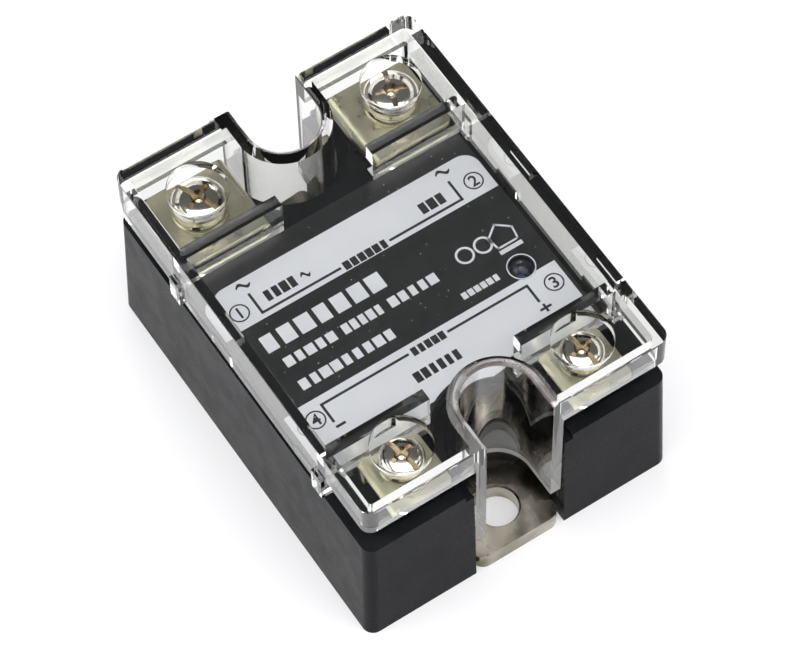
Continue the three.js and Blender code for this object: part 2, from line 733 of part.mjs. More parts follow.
function addPart(name, solid, finish) {
  const { color, roughness, metalness } = FINISH[finish];
  const mesh = new THREE.Mesh(
    toGeometry(solid), new THREE.MeshStandardMaterial({ color, roughness, metalness }),
  );
  mesh.name = name;
  relay.add(mesh);
}

addPart('base_plate', makeBasePlate(), 'plate');
addPart('case', makeCase(), 'casing');
addPart('protective_cover', makeCover(), 'clear');
addPart('label', makeLabel(), 'label');
addPart('status_lamp', makeLamp(), 'lamp');
for (const station of stations) {
  const { number, role } = station;
  addPart(`${role}_terminal_${number}`, makeTerminal(station), 'plated');
  addPart(`terminal_screw_${number}`, makeScrew(station), 'plated');
  addPart(`spring_washer_${number}`, makeSpringWasher(station), 'steel');
  addPart(`flat_washer_${number}`, makeFlatWasher(station), 'plated');
  addPart(`captive_nut_${number}`, makeNut(station), 'steel');
}
addPart('ceramic_substrate', makeSubstrate(), 'ceramic');
addPart('thyristor_chip_1', makeChip(-1), 'silicon');
addPart('thyristor_chip_2', makeChip(1), 'silicon');
addPart('gate_pin_1', makeGatePin(-1), 'steel');
addPart('gate_pin_2', makeGatePin(1), 'steel');
addPart('potting', makePotting(), 'potting');
addPart('driver_board', makeBoard(), 'board');
addPart('optocoupler', makeOptocoupler(), 'moulded');
addPart('driver_transistor', makeTransistor(), 'moulded');
addPart('input_resistor', makeAxial(14, -1.4, 1.2, 6.2, 7.8), 'resistor');
addPart('gate_resistor', makeAxial(3.4, -1.2, 1, 4.6, 6.2), 'resistor');
addPart('snubber_resistor', makeAxial(4.4, -5.2, 1.9, 9, 10.8), 'resistor');
addPart('protection_diode', makeAxial(12.4, -11.2, 1.2, 4.4, 6.2), 'moulded');
addPart('snubber_capacitor', makeCapacitor(), 'capacitor');

export default relay;
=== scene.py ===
"""A panel-mount solid state relay: black moulded case, metal base plate, printed label,
plated screw terminals and a clear lift-off cover. Lengths are millimetres until a mesh is made."""
import math

import bmesh
import bpy
from mathutils import Matrix, Vector


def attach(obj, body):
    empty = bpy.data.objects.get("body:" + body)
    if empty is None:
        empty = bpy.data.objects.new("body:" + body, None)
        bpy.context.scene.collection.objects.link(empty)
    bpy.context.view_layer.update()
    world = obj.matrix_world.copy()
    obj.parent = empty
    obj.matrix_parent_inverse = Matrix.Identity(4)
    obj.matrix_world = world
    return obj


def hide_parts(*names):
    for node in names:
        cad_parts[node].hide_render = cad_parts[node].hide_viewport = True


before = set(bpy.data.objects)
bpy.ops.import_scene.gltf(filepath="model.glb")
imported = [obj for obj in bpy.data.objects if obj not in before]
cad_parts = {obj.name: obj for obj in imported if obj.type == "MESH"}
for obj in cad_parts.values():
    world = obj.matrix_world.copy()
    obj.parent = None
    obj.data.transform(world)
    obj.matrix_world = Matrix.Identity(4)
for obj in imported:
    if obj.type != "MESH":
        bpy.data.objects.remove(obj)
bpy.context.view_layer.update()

MM = 0.001
SIDES = (-1, 1)

# ------------------------------------------------------------------ sizes of the real relay

PLATE_HALF = (19.45, 26.2)      # the base plate inside the case
PLATE_TOP = 2.5
PLATE_ROOM = 0.2
TONGUE_TOP = 2.7                # the base plate's ends, in the slots
MOUNTING_HOLE = 2.75
CORNER = 1.5                    # the case's and cover's upright corners
RIM = 20.3                      # top of the case's outer walls
DECK = 21.8                     # top of the recessed black deck
PEDESTAL = 23.3                 # top of the blocks under the terminals
TERMINAL_TOP = 24.5
CASE_HALF = (22.5, 29.25)       # at the foot
CASE_DRAFT = 0.65
RIM_HALF = (21.85, 28.6)
CASE_WALL = 2.2
DECK_HALF = (20.05, 26.8)
SLOT_Y = 24.0                   # mounting slot centres, at both ends
SLOT_BORE = 4.8                 # inside the cover's slot wall
SLOT_WALL = 6.3                 # outside the cover's slot wall
NOTCH = 6.6                     # the case's notch round that wall
LANDING = 7.8                   # shallow step in the deck round the notch
COVER_TOP = 30.3
COVER_WALL = 1.5
ROOF = COVER_TOP - COVER_WALL
INPUT_EDGE = -19.15             # outer face of the cross wall at the input end
OUTPUT_EDGE = 15.35
CROSS_WALL = 1.7
LUG = 2.2                       # side lugs at the ends of the cover's middle
SLOT_FOOT = 8                   # where the cover's slot walls end
RIM_ROUND = 0.7                 # the round edge at the top of a slot's bore
ACCESS = 3.9                    # screwdriver holes in the roof
LABEL_TOP = 22.0
LAMP = (15.2, -6.6)
LAMP_RADIUS = 1.5
CATCH_Y = (-14.4, 4.4)          # the catches that hold the cover, on both sides
SHANK_ROOM = 0.4                # round a screw's shank
LEG_ROOM = 0.25                 # round a terminal's leg, in the case
CLEAR_OF = 32                   # where a cutter stops, outside the relay
OVER = 30                       # where a cutter from above stops, over all but the cover's roof

# box is the terminal's x and y range, bend is the side with its bent edge, and turn is how
# many degrees the screw happens to be turned
STATIONS = (
    dict(number=1, role="output", x=-14.2, y=21.1, bend=1, turn=24, box=(-19.3, -7.7, 15.9, 26.2)),
    dict(number=2, role="output", x=14.2, y=21.1, bend=-1, turn=-18, box=(7.7, 19.3, 15.9, 26.2)),
    dict(number=3, role="input", x=13.0, y=-22.7, bend=-1, turn=8, box=(8.9, 17.3, -26.7, -19.5)),
    dict(number=4, role="input", x=-13.0, y=-22.7, bend=-1, turn=12,
         box=(-17.3, -8.9, -26.7, -19.5)),
)
FASTENERS = {
    "output": dict(shank=1.9, head=3.55, height=2.4, length=10.0, pitch=0.7, flat=0.6, flat_r=3.6,
                   spring=0.9, spring_r=3.4, nut_flats=7.4, nut_depth=2.9, nut_turn=30),
    "input": dict(shank=1.4, head=2.85, height=2.1, length=8.0, pitch=0.5, flat=0.5, flat_r=2.95,
                  spring=0.8, spring_r=2.7, nut_flats=5.9, nut_depth=2.4, nut_turn=0),
}
LEGS = {"output": (3.0, 1.2), "input": (1.4, 1.0)}     # width and thickness

# ------------------------------------------------------------------ shape helpers


def link(name, data):
    """A new object in the scene, for a mesh, curve, light or camera."""
    piece = bpy.data.objects.new(name, data)
    bpy.context.scene.collection.objects.link(piece)
    return piece


def arc(x, y, radius, start, end, steps):
    """Points round a corner, in degrees."""
    turns = [math.radians(start + (end - start) * i / steps) for i in range(steps + 1)]
    return [(x + radius * math.cos(t), y + radius * math.sin(t)) for t in turns]


def rounded(x0, x1, y0, y1, radii, steps=8):
    """A rectangle's outline; radii go anticlockwise from its lower left corner."""
    corners = (
        (x0 + radii[0], y0 + radii[0], radii[0], 180),
        (x1 - radii[1], y0 + radii[1], radii[1], 270),
        (x1 - radii[2], y1 - radii[2], radii[2], 0),
        (x0 + radii[3], y1 - radii[3], radii[3], 90),
    )
    points = []
    for x, y, radius, start in corners:
        if radius:
            points += arc(x, y, radius, start, start + 90, steps)
        else:
            points.append((x, y))
    return points


def slab(name, outline, low, high, shrink=0.0):
    """A solid over a flat outline. shrink leans its sides inwards towards the top."""
    shape = bmesh.new()
    rings = []
    for z, inset in ((low, 0.0), (high, shrink)):
        rings.append([
            shape.verts.new((
                (x - math.copysign(inset, x)) * MM, (y - math.copysign(inset, y)) * MM, z * MM,
            ))
            for x, y in outline
        ])
    count = len(outline)
    shape.faces.new(rings[1])
    shape.faces.new(list(reversed(rings[0])))
    for i in range(count):
        j = (i + 1) % count
        shape.faces.new((rings[0][i], rings[0][j], rings[1][j], rings[1][i]))
    bmesh.ops.recalc_face_normals(shape, faces=shape.faces)
    mesh = bpy.data.meshes.new(name)
    shape.to_mesh(mesh)
    shape.free()
    return link(name, mesh)


def block(x0, x1, y0, y1, z0, z1):
    return slab("block", rounded(x0, x1, y0, y1, (0, 0, 0, 0)), z0, z1)


def post(x, y, radius, z0, z1, steps=64):
    return slab("post", arc(x, y, radius, 0, 360 - 360 / steps, steps - 1), z0, z1)


def slot_outline(radius, end, reach, steps=48):
    """The U-shaped outline of a mounting slot, from its round end out past the case."""
    start = 180 if end > 0 else 0
    return [(-end * radius, end * reach)] + arc(
        0, end * SLOT_Y, radius, start, start + 180, steps
    ) + [(end * radius, end * reach)]


def slot_block(radius, end, reach, z0, z1):
    return slab("slot", slot_outline(radius, end, reach), z0, z1)


def turned(name, profile, x, y, steps=64):
    """A solid of revolution about an upright axis. profile is (radius, height), top to bottom."""
    shape = bmesh.new()
    rings = []
    for radius, z in profile:
        if radius == 0:
            rings.append([shape.verts.new((x * MM, y * MM, z * MM))])
        else:
            rings.append([shape.verts.new((px * MM, py * MM, z * MM))
                          for px, py in arc(x, y, radius, 0, 360 - 360 / steps, steps - 1)])
    for upper, lower in zip(rings, rings[1:]):
        for i in range(steps):
            j = (i + 1) % steps
            corners = [upper[i % len(upper)], upper[j % len(upper)],
                       lower[j % len(lower)], lower[i % len(lower)]]
            face = []
            for corner in corners:
                if corner not in face:
                    face.append(corner)
            if len(face) > 2:
                shape.faces.new(face)
    bmesh.ops.recalc_face_normals(shape, faces=shape.faces)
    mesh = bpy.data.meshes.new(name)
    shape.to_mesh(mesh)
    shape.free()
    return link(name, mesh)


def at(x, y, z=0.0):
    """A move to this place, in millimetres."""
    return Matrix.Translation(Vector((x, y, z)) * MM)


def settle(piece):
    """Turns a piece and its modifiers into a plain mesh."""
    graph = bpy.context.evaluated_depsgraph_get()
    mesh = bpy.data.meshes.new_from_object(piece.evaluated_get(graph))
    piece.modifiers.clear()
    piece.data = mesh
    return piece


def combine(body, tools, operation):
    """Applies one Boolean for each tool, and removes the tools."""
    for tool in tools:
        step = body.modifiers.new("combine", "BOOLEAN")
        step.operation = operation
        step.object = tool
        step.solver = "MANIFOLD"
    settle(body)
    for tool in tools:
        bpy.data.objects.remove(tool)
    return body


def carve(body, *tools):
    return combine(body, tools, "DIFFERENCE")


def weld(body, *tools):
    return combine(body, tools, "UNION")


def tidy(piece):
    """Merges what a cut leaves doubled, and joins flat faces again."""
    shape = bmesh.new()
    shape.from_mesh(piece.data)
    bmesh.ops.remove_doubles(shape, verts=shape.verts, dist=0.002 * MM)
    bmesh.ops.dissolve_limit(
        shape, angle_limit=math.radians(0.5), verts=shape.verts, edges=shape.edges,
    )
    bmesh.ops.recalc_face_normals(shape, faces=shape.faces)
    shape.to_mesh(piece.data)
    shape.free()
    return piece


def close_seam(piece):
    """Merges the doubled ends of a ring, so that its shell is closed."""
    shape = bmesh.new()
    shape.from_mesh(piece.data)
    bmesh.ops.remove_doubles(shape, verts=shape.verts, dist=1e-7)
    bmesh.ops.recalc_face_normals(shape, faces=shape.faces)
    shape.to_mesh(piece.data)
    shape.free()


def soften(piece, width, segments, wide=None):
    """Rounds a moulded or stamped piece's edges, and first those that wide picks, by its size."""
    tidy(piece)
    if wide:
        picks, size = wide
        shape = bmesh.new()
        shape.from_mesh(piece.data)
        weight = shape.edges.layers.float.new("bevel_weight_edge")
        for line in shape.edges:
            line[weight] = float(all(picks(corner.co / MM) for corner in line.verts))
        shape.to_mesh(piece.data)
        shape.free()
        round_over = piece.modifiers.new("round_over", "BEVEL")
        round_over.width = size * MM
        round_over.segments = 5
        round_over.limit_method = "WEIGHT"
        round_over.use_clamp_overlap = False
    edge = piece.modifiers.new("soften", "BEVEL")
    edge.width = width * MM
    edge.segments = segments
    edge.limit_method = "ANGLE"
    edge.angle_limit = math.radians(28)
    edge.miter_outer = "MITER_ARC"
    edge.use_clamp_overlap = True
    flat = piece.modifiers.new("flat", "WEIGHTED_NORMAL")
    flat.mode = "FACE_AREA"
    flat.weight = 100
    piece.data.shade_smooth()
    return settle(piece)


def smooth(piece, angle):
    piece.data.shade_smooth()
    piece.data.set_sharp_from_angle(angle=math.radians(angle))


def finish(piece, name, material, body, slot, *nodes):
    """Names and paints a piece, ties it to its body and hides the nodes it replaces. slot is not
    used.
    """
    piece.name = name
    piece.data.name = name
    piece.data.materials.clear()
    piece.data.materials.append(material)
    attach(piece, body)
    if nodes:
        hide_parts(*nodes)
    return piece


# ------------------------------------------------------------------ finishes


class Finish:
    """A procedural surface on Object coordinates, so that its pattern stays with the piece."""

    def __init__(self, name, color, roughness, metallic=0.0):
        self.material = bpy.data.materials.new(name)
        self.material.use_nodes = True
        self.tree = self.material.node_tree
        self.shader = self.tree.nodes["Principled BSDF"]
        self.shader.inputs["Base Color"].default_value = (*color, 1)
        self.shader.inputs["Roughness"].default_value = roughness
        self.shader.inputs["Metallic"].default_value = metallic
        self.place = self.tree.nodes.new("ShaderNodeTexCoord")
        self.height = None

    def grain(self, scale, detail=3.0, stretch=(1, 1, 1)):
        mapping = self.tree.nodes.new("ShaderNodeMapping")
        mapping.inputs["Scale"].default_value = stretch
        noise = self.tree.nodes.new("ShaderNodeTexNoise")
        noise.inputs["Scale"].default_value = scale
        noise.inputs["Detail"].default_value = detail
        self.tree.links.new(self.place.outputs["Object"], mapping.inputs["Vector"])
        self.tree.links.new(mapping.outputs["Vector"], noise.inputs["Vector"])
        return noise.outputs["Fac"]

    def ramp(self, source, low, high, start=0.35, end=0.65):
        ramp = self.tree.nodes.new("ShaderNodeMapRange")
        ramp.inputs["From Min"].default_value = start
        ramp.inputs["From Max"].default_value = end
        ramp.inputs["To Min"].default_value = low
        ramp.inputs["To Max"].default_value = high
        self.tree.links.new(source, ramp.inputs["Value"])
        return ramp.outputs["Result"]

    def vary_roughness(self, source, low, high):
        self.tree.links.new(self.ramp(source, low, high), self.shader.inputs["Roughness"])

    def vary_color(self, source, first, second, start=0.35, end=0.65):
        mix = self.tree.nodes.new("ShaderNodeMix")
        mix.data_type = "RGBA"
        mix.inputs["A"].default_value = (*first, 1)
        mix.inputs["B"].default_value = (*second, 1)
        self.tree.links.new(self.ramp(source, 0, 1, start, end), mix.inputs["Factor"])
        self.tree.links.new(mix.outputs["Result"], self.shader.inputs["Base Color"])

    def bump(self, source, depth, strength=1.0):
        bump = self.tree.nodes.new("ShaderNodeBump")
        bump.inputs["Distance"].default_value = depth * MM
        bump.inputs["Strength"].default_value = strength
        self.tree.links.new(source, bump.inputs["Height"])
        if self.height:
            self.tree.links.new(self.height, bump.inputs["Normal"])
        self.height = bump.outputs["Normal"]
        self.tree.links.new(self.height, self.shader.inputs["Normal"])

    def set(self, socket, value):
        self.shader.inputs[socket].default_value = value
        return self


def moulded_black():
    finish = Finish("moulded_black", (0.01, 0.0105, 0.012), 0.3)
    finish.vary_color(finish.grain(140, 2), (0.008, 0.0085, 0.01), (0.012, 0.0125, 0.014))
    finish.vary_roughness(finish.grain(300, 3), 0.22, 0.32)
    finish.bump(finish.grain(160, 1), 0.01, 0.25)
    finish.bump(finish.grain(2600, 1), 0.0006, 0.5)
    finish.set("Specular IOR Level", 0.04)
    return finish.material


def clear_plastic():
    finish = Finish("clear_plastic", (0.935, 0.94, 0.92), 0.015)
    finish.set("Transmission Weight", 1.0).set("IOR", 1.53)
    finish.vary_roughness(finish.grain(300, 3), 0.0, 0.03)
    finish.bump(finish.grain(140, 2), 0.006, 0.4)
    return finish.material


def frosted_edge():
    """The foot of the input slot's wall, matt from the mould."""
    finish = Finish("frosted_edge", (0.97, 0.95, 0.94), 0.5)
    finish.set("Transmission Weight", 0.1).set("IOR", 1.5)
    finish.vary_roughness(finish.grain(1200, 2), 0.35, 0.6)
    finish.bump(finish.grain(3000, 2), 0.004, 0.5)
    return finish.material


def milky_rim():
    """The round edge of the input slot, with a painted highlight: a pinkish white, partly opaque
    colour that stands in for the light the polished edge reflects.
    """
    finish = Finish("milky_rim", (0.96, 0.92, 0.91), 0.2)
    finish.set("Transmission Weight", 0.72).set("IOR", 1.5)
    finish.vary_color(finish.grain(420, 3), (0.5, 0.44, 0.43), (1.0, 0.96, 0.95), 0.42, 0.6)
    finish.vary_roughness(finish.grain(500, 2), 0.04, 0.16)
    finish.bump(finish.grain(600, 2), 0.01, 0.5)
    return finish.material


def plated(name, dark, light, low=0.2, high=0.32):
    finish = Finish(name, light, low, 1.0)
    finish.vary_color(finish.grain(110, 1), dark, light)
    finish.vary_roughness(finish.grain(500, 2), low, high)
    finish.bump(finish.grain(240, 1), 0.008, 0.25)
    finish.bump(finish.grain(1800, 2, (1, 0.15, 1)), 0.0008, 0.5)
    return finish.material


def tumbled_plate():
    finish = Finish("tumbled_plate", (0.5, 0.47, 0.42), 0.2, 1.0)
    finish.vary_color(finish.grain(150, 2), (0.12, 0.12, 0.05), (0.46, 0.42, 0.37), 0.38, 0.6)
    finish.vary_roughness(finish.grain(300, 2), 0.12, 0.3)
    finish.bump(finish.grain(260, 1), 0.02, 0.5)
    finish.bump(finish.grain(2400, 3), 0.004, 0.5)
    return finish.material


def film_black():
    finish = Finish("film_black", (0.014, 0.0145, 0.015), 0.34)
    finish.vary_color(finish.grain(500, 3), (0.011, 0.0115, 0.012), (0.017, 0.0175, 0.019))
    finish.vary_roughness(finish.grain(900, 3), 0.28, 0.4)
    finish.bump(finish.grain(3800, 2), 0.002, 0.4)
    return finish.material


def ink_white():
    finish = Finish("ink_white", (0.86, 0.87, 0.94), 0.4)
    finish.vary_color(finish.grain(180, 4), (0.84, 0.85, 0.93), (0.88, 0.89, 0.96))
    finish.vary_roughness(finish.grain(800, 2), 0.34, 0.46)
    finish.bump(finish.grain(5000, 2), 0.001, 0.4)
    return finish.material


def ink_black():
    finish = Finish("ink_black", (0.012, 0.012, 0.013), 0.4)
    finish.vary_roughness(finish.grain(900, 2), 0.34, 0.5)
    return finish.material


def lamp_clear():
    finish = Finish("lamp_clear", (0.86, 0.9, 0.97), 0.05)
    finish.set("Transmission Weight", 1.0).set("IOR", 1.5)
    finish.vary_roughness(finish.grain(900, 2), 0.02, 0.1)
    return finish.material


def dust():
    finish = Finish("dust", (0.75, 0.75, 0.72), 0.8)
    finish.vary_color(finish.grain(4000, 2), (0.6, 0.6, 0.58), (0.85, 0.85, 0.84))
    return finish.material


def speckled(name, first, second, roughness, scale=900, metallic=0.0):
    finish = Finish(name, first, roughness, metallic)
    finish.vary_color(finish.grain(scale, 3), first, second)
    finish.vary_roughness(finish.grain(scale * 1.7, 2), roughness * 0.85, roughness * 1.15)
    finish.bump(finish.grain(scale * 3, 2), 0.004, 0.4)
    return finish.material


CASE = moulded_black()
CLEAR = clear_plastic()
FROSTED = frosted_edge()
# painted highlight on the round edge of the input slot's bore
RIM_HIGHLIGHT = milky_rim()
TERMINAL = plated("terminal_plating", (0.44, 0.42, 0.3), (0.56, 0.53, 0.41), 0.26, 0.4)
SCREW = plated("screw_plating", (0.62, 0.59, 0.51), (0.74, 0.71, 0.64), 0.08, 0.16)
# painted shade: darker, browner plating for the inside of the driver recess
RECESS_SHADE = plated("recess_painted_shade", (0.36, 0.31, 0.22), (0.52, 0.46, 0.36), 0.16, 0.28)
STEEL = plated("washer_steel", (0.5, 0.48, 0.44), (0.66, 0.64, 0.6), 0.16, 0.3)
PLATE = tumbled_plate()
FILM = film_black()
WHITE = ink_white()
INK = ink_black()
LENS = lamp_clear()
# painted shade and painted reflection: a dark cup with bluish speckles for the lamp's shaded inside
# and its bluish reflections
CUP_SHADE_AND_REFLECTION = speckled("lamp_cup_shade_and_reflection", (0.03, 0.05, 0.1), (0.12, 0.16, 0.24), 0.25, 700, 0.6)
DUST = dust()

# ------------------------------------------------------------------ case


def make_case():
    half_x, half_y = CASE_HALF
    outline = rounded(-half_x, half_x, -half_y, half_y, (CORNER,) * 4)
    body = slab("case", outline, 0, RIM, CASE_DRAFT)
    deck_x, deck_y = DECK_HALF
    weld(body, slab(
        "deck", rounded(-deck_x, deck_x, -deck_y, deck_y, (1.2,) * 4), RIM - 1, DECK,
    ))
    weld(body, *[block(*station["box"], DECK - 1, PEDESTAL) for station in STATIONS])
    weld(body, *[
        block(*sorted((side * (deck_x - 0.15), side * 20.95)), y - 1.8, y + 1.8, RIM - 1, RIM + 2.3)
        for side in SIDES
        for y in CATCH_Y
    ])
    inner_x, inner_y = (half - CASE_WALL for half in RIM_HALF)
    hollow = block(-inner_x, inner_x, -inner_y, inner_y, -1, DECK - 2.5)
    carve(hollow, *[slot_block(NOTCH + 2, end, CLEAR_OF, -2, OVER) for end in SIDES])
    carve(body, hollow)
    seat_x, seat_y = (half + PLATE_ROOM for half in PLATE_HALF)
    carve(body, block(-seat_x, seat_x, -seat_y, seat_y, -1, PLATE_TOP + 0.1))
    carve(body, *[slot_block(NOTCH, end, CLEAR_OF, -1, OVER) for end in SIDES])
    carve(body, *[slot_block(LANDING, end, CLEAR_OF, DECK - 2.5, OVER) for end in SIDES])
    carve(body, *[bend_room(station) for station in STATIONS])
    rooms = []
    for station in STATIONS:
        rooms += fastener_rooms(station)
    carve(body, *rooms, post(*LAMP, LAMP_RADIUS + 0.2, DECK - 4, OVER, 48))
    soften(body, 0.28, 3)
    return finish(body, "case_shell", CASE, "relay", "casing", "case")


def bent_edge(station):
    """The x of a terminal's bent edge."""
    x0, x1 = station["box"][:2]
    return x1 if station["bend"] > 0 else x0


def leg_start(station):
    """The lower y of a terminal's leg."""
    y0, y1 = station["box"][2:]
    return y0 if station["role"] == "output" else y1 - LEGS["input"][0]


def bend_room(station):
    """The step in the case beside a terminal's bent edge."""
    y0, y1 = station["box"][2:]
    bend = station["bend"]
    edge = bent_edge(station)
    inner = edge - bend * (LEGS[station["role"]][1] + LEG_ROOM)
    return block(*sorted((inner, edge + bend)), y0 - 1, y1 + 1, DECK, OVER)


def fastener_rooms(station):
    """What is cut from the case for a terminal's leg, its screw and its nut."""
    size = FASTENERS[station["role"]]
    width, thick = LEGS[station["role"]]
    bend = station["bend"]
    edge = bent_edge(station)
    across = sorted((edge + bend * LEG_ROOM, edge - bend * (thick + LEG_ROOM)))
    y = leg_start(station)
    turn = size["nut_turn"]
    hexagon = arc(
        station["x"], station["y"], size["nut_flats"] / math.sqrt(3), turn, turn + 300, 5,
    )
    return [
        block(*across, y - LEG_ROOM, y + width + LEG_ROOM, DECK - 4, OVER),
        post(station["x"], station["y"], size["shank"] + SHANK_ROOM, DECK - 4, OVER, 32),
        slab("nut_room", hexagon, PEDESTAL - size["nut_depth"], OVER),
    ]


# ------------------------------------------------------------------ base plate


def make_base_plate():
    half_x, half_y = PLATE_HALF
    body = block(-half_x, half_x, -half_y, half_y, 0, PLATE_TOP)
    side, tip, corner = 6.2, CASE_HALF[1], 1.6
    for end in SIDES:
        outline = [(-end * side, end * (tip - corner))] + arc(
            0, end * SLOT_Y, side, 180 if end > 0 else 0, 360 if end > 0 else 180, 32
        ) + [(end * side, end * (tip - corner))]
        if end > 0:
            outline += arc(side - corner, tip - corner, corner, 0, 90, 8)
            outline += arc(-side + corner, tip - corner, corner, 90, 180, 8)
        else:
            outline += arc(-side + corner, -tip + corner, corner, 180, 270, 8)
            outline += arc(side - corner, -tip + corner, corner, 270, 360, 8)
        weld(body, slab("tongue", without_repeats(outline), 0, TONGUE_TOP))
    for end in SIDES:
        carve(body, post(0, end * SLOT_Y, MOUNTING_HOLE, -1, 4))
        carve(body, turned("countersink", [
            (0, TONGUE_TOP + 0.5), (3.5, TONGUE_TOP + 0.5), (2.7, TONGUE_TOP - 0.3),
            (0, TONGUE_TOP - 0.3),
        ], 0, end * SLOT_Y))
    soften(body, 0.22, 3)
    return finish(body, "base_plate_tumbled", PLATE, "relay", "plate", "base_plate")


def without_repeats(points):
    kept = []
    for point in points:
        if not kept or math.dist(point, kept[-1]) > 1e-4:
            kept.append(point)
    if math.dist(kept[0], kept[-1]) < 1e-4:
        kept.pop()
    return kept


# ------------------------------------------------------------------ clear cover


def make_cover():
    half_x, half_y = RIM_HALF
    wall = COVER_WALL
    outline = rounded(-half_x, half_x, -half_y, half_y, (CORNER,) * 4, 12)
    body = slab("cover", outline, RIM + 1.3, COVER_TOP)
    carve(body, slab("inside", rounded(
        -half_x + wall, half_x - wall, -half_y + wall, half_y - wall, (0.5,) * 4, 6,
    ), RIM, ROOF))
    # the skirt reaches less far down at both ends than along the sides
    carve(
        body,
        block(-CLEAR_OF, CLEAR_OF, -CLEAR_OF, INPUT_EDGE, 0, RIM + 5),
        block(-CLEAR_OF, CLEAR_OF, OUTPUT_EDGE, CLEAR_OF, 0, RIM + 2.2),
        block(-CLEAR_OF, CLEAR_OF, half_y - wall, CLEAR_OF, 0, RIM + 5),
    )
    extras = []
    for side in SIDES:
        for y in (INPUT_EDGE, OUTPUT_EDGE - LUG):
            across = sorted((side * (half_x - wall), side * (half_x + 0.4)))
            extras.append(block(*across, y, y + LUG, RIM + 0.3, RIM + 4.3))
        for y in (INPUT_EDGE, OUTPUT_EDGE - CROSS_WALL):
            across = sorted((side * (SLOT_WALL + 0.3), side * (half_x - wall / 2)))
            extras.append(block(*across, y, y + CROSS_WALL, DECK + 1.1, ROOF + 0.7))
    for end in SIDES:
        extras.append(slot_block(SLOT_WALL, end, half_y, SLOT_FOOT, COVER_TOP))
    weld(body, *extras)
    carve(body, *[slot_block(SLOT_BORE, end, CLEAR_OF, SLOT_FOOT - 3, COVER_TOP + 3.7)
                  for end in SIDES])
    carve(body, *[post(s["x"], s["y"], ACCESS, ROOF - 1, COVER_TOP + 1, 96) for s in STATIONS])
    carve(body, *[
        block(*sorted((side * 19.0, side * 21.25)), y - 2.1, y + 2.1, 0, RIM + 2.6)
        for side in SIDES
        for y in CATCH_Y
    ])
    soften(body, 0.16, 2, wide=(on_slot_rim, RIM_ROUND))
    finish(body, "clear_cover", CLEAR, "cover", "clear", "protective_cover")
    body.data.materials.append(FROSTED)
    body.data.materials.append(RIM_HIGHLIGHT)
    for face in body.data.polygons:
        point = face.center / MM
        if point.y > 0:
            continue
        if face.normal.z < -0.2 and point.z < SLOT_FOOT + 0.3:
            face.material_index = 1
        # faces on the input slot's round edge get the painted highlight
        on_round = point.z > COVER_TOP - RIM_ROUND and from_slot_bore(point) < RIM_ROUND + 0.02
        if on_round and 0.02 < face.normal.z < 0.999:
            face.material_index = 2
    return body


def from_slot_bore(point):
    """How far a point is from the nearer slot bore, seen from above."""
    beyond = max(0.0, SLOT_Y - abs(point.y))
    return abs(math.hypot(point.x, beyond) - SLOT_BORE)


def on_slot_rim(point):
    """Whether a corner lies on the top edge of a slot wall's bore."""
    return abs(point.z - COVER_TOP) <= 0.01 and from_slot_bore(point) < 0.03


# ------------------------------------------------------------------ terminals and fasteners


def make_terminal(station):
    x0, x1, y0, y1 = station["box"]
    bend = station["bend"]
    width, thick = LEGS[station["role"]]
    is_output = station["role"] == "output"
    drop = 1.2 if is_output else 0.1
    foot = 6.0 if is_output else 11.6
    radius = 1.2
    corner = 0.9
    edge = bent_edge(station)
    # the bent strip, drawn in the XZ plane and pushed along Y
    curve = [(radius + 0.5, TERMINAL_TOP)]
    curve += arc(radius, TERMINAL_TOP - radius, radius, 90, 180, 12)
    curve += [(0, PEDESTAL - drop), (thick, PEDESTAL - drop), (thick, PEDESTAL),
              (radius + 0.5, PEDESTAL)]
    strip = slab("strip", curve, 0, y1 - y0)
    strip.data.transform(Matrix.Rotation(math.radians(90), 4, "X"))
    if bend > 0:
        strip.data.transform(Matrix.Scale(-1, 4, (1, 0, 0)))
        strip.data.flip_normals()
    strip.data.transform(at(edge, y1))
    if bend > 0:
        flat = rounded(x0, x1 - radius, y0, y1, (corner, 0, 0, corner))
    else:
        flat = rounded(x0 + radius, x1, y0, y1, (0, corner, corner, 0))
    plate = slab("plate", flat, PEDESTAL, TERMINAL_TOP)
    leg_y = leg_start(station)
    leg = sorted((edge, edge - bend * thick))
    parts = [strip, block(*leg, leg_y, leg_y + width, foot, PEDESTAL + 0.1)]
    if is_output:
        toe = sorted((edge, edge - bend * 5))
        parts.append(block(*leg, 9.5, leg_y + width, 6, 9))
        parts.append(block(*leg, 9.5, 13.5, 3.5, 9))
        parts.append(block(*toe, 9.5, 13.5, 3.5, 4.7))
    weld(plate, *parts)
    hole = FASTENERS[station["role"]]["shank"] + SHANK_ROOM
    carve(plate, post(station["x"], station["y"], hole, PEDESTAL - 1, OVER, 48))
    soften(plate, 0.12, 2)
    node = f"{station['role']}_terminal_{station['number']}"
    return finish(plate, f"{node}_plate", TERMINAL, "relay", "plated", node)


def recess_tools(x, y, size, top):
    """The cross and the long slot that a driver bites on, narrowing downwards."""
    half = 0.42
    tools = []
    cross = (True, size["head"] * 0.6, 1.35)
    slot = (False, size["head"] + 1, 1.0)
    for along_x, length, depth in (cross, slot):
        outline = [(-length, -half), (length, -half), (length, half), (-length, half)]
        if not along_x:
            outline = [(-py, px) for px, py in outline]
        tool = slab("recess", outline, top - depth, top + 0.6, -0.14)
        tool.data.transform(at(x, y))
        tools.append(tool)
    centre = [(0, top + 0.6), (1.15, top + 0.6), (0.55, top - 1.6), (0, top - 1.9)]
    return tools + [turned("centre", centre, x, y, 24)]


DOME_POWER = 0.7                # how square a screw head's dome is: 1 is an ellipse


